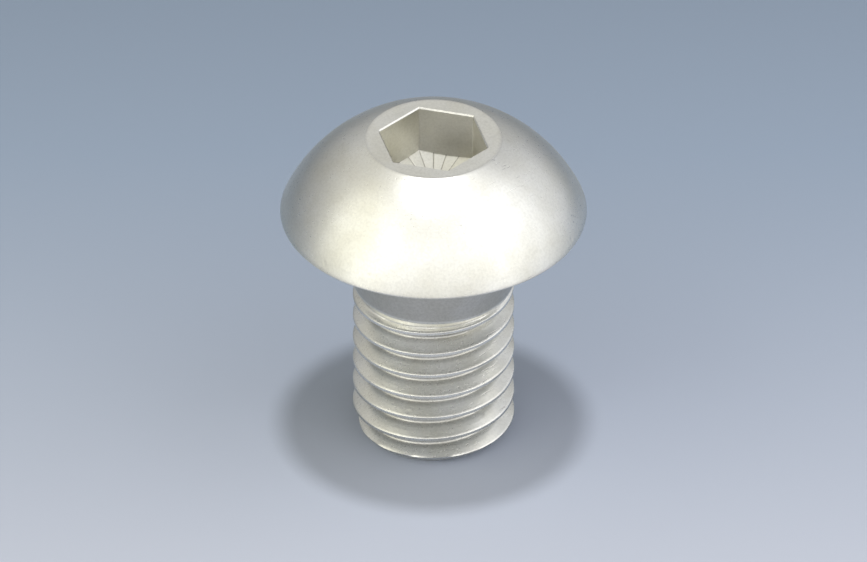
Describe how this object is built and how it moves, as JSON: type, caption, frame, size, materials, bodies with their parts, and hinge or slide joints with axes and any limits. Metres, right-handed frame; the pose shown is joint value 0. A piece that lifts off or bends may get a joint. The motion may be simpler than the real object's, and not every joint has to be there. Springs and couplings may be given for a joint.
{
  "type": "button head screw",
  "caption": "Button head screw with a low domed head, a hexagon socket for a key, a tapered neck and a right-hand metric thread with a chamfered end.",
  "frame": {"origin": "centre of the bearing face under the head, on the screw's axis", "axes": "+Z along the axis from the end of the shank up through the crown of the head; two corners of the hexagon socket lie on the Y axis and two of its flats face the X axis"},
  "size_m": [0.0094, 0.0094, 0.0107],
  "materials": {
    "stainless_steel": "satin, cold-formed and passivated"
  },
  "bodies": {
    "root": {"button_head_screw": "stainless_steel"}
  },
  "joints": []
}
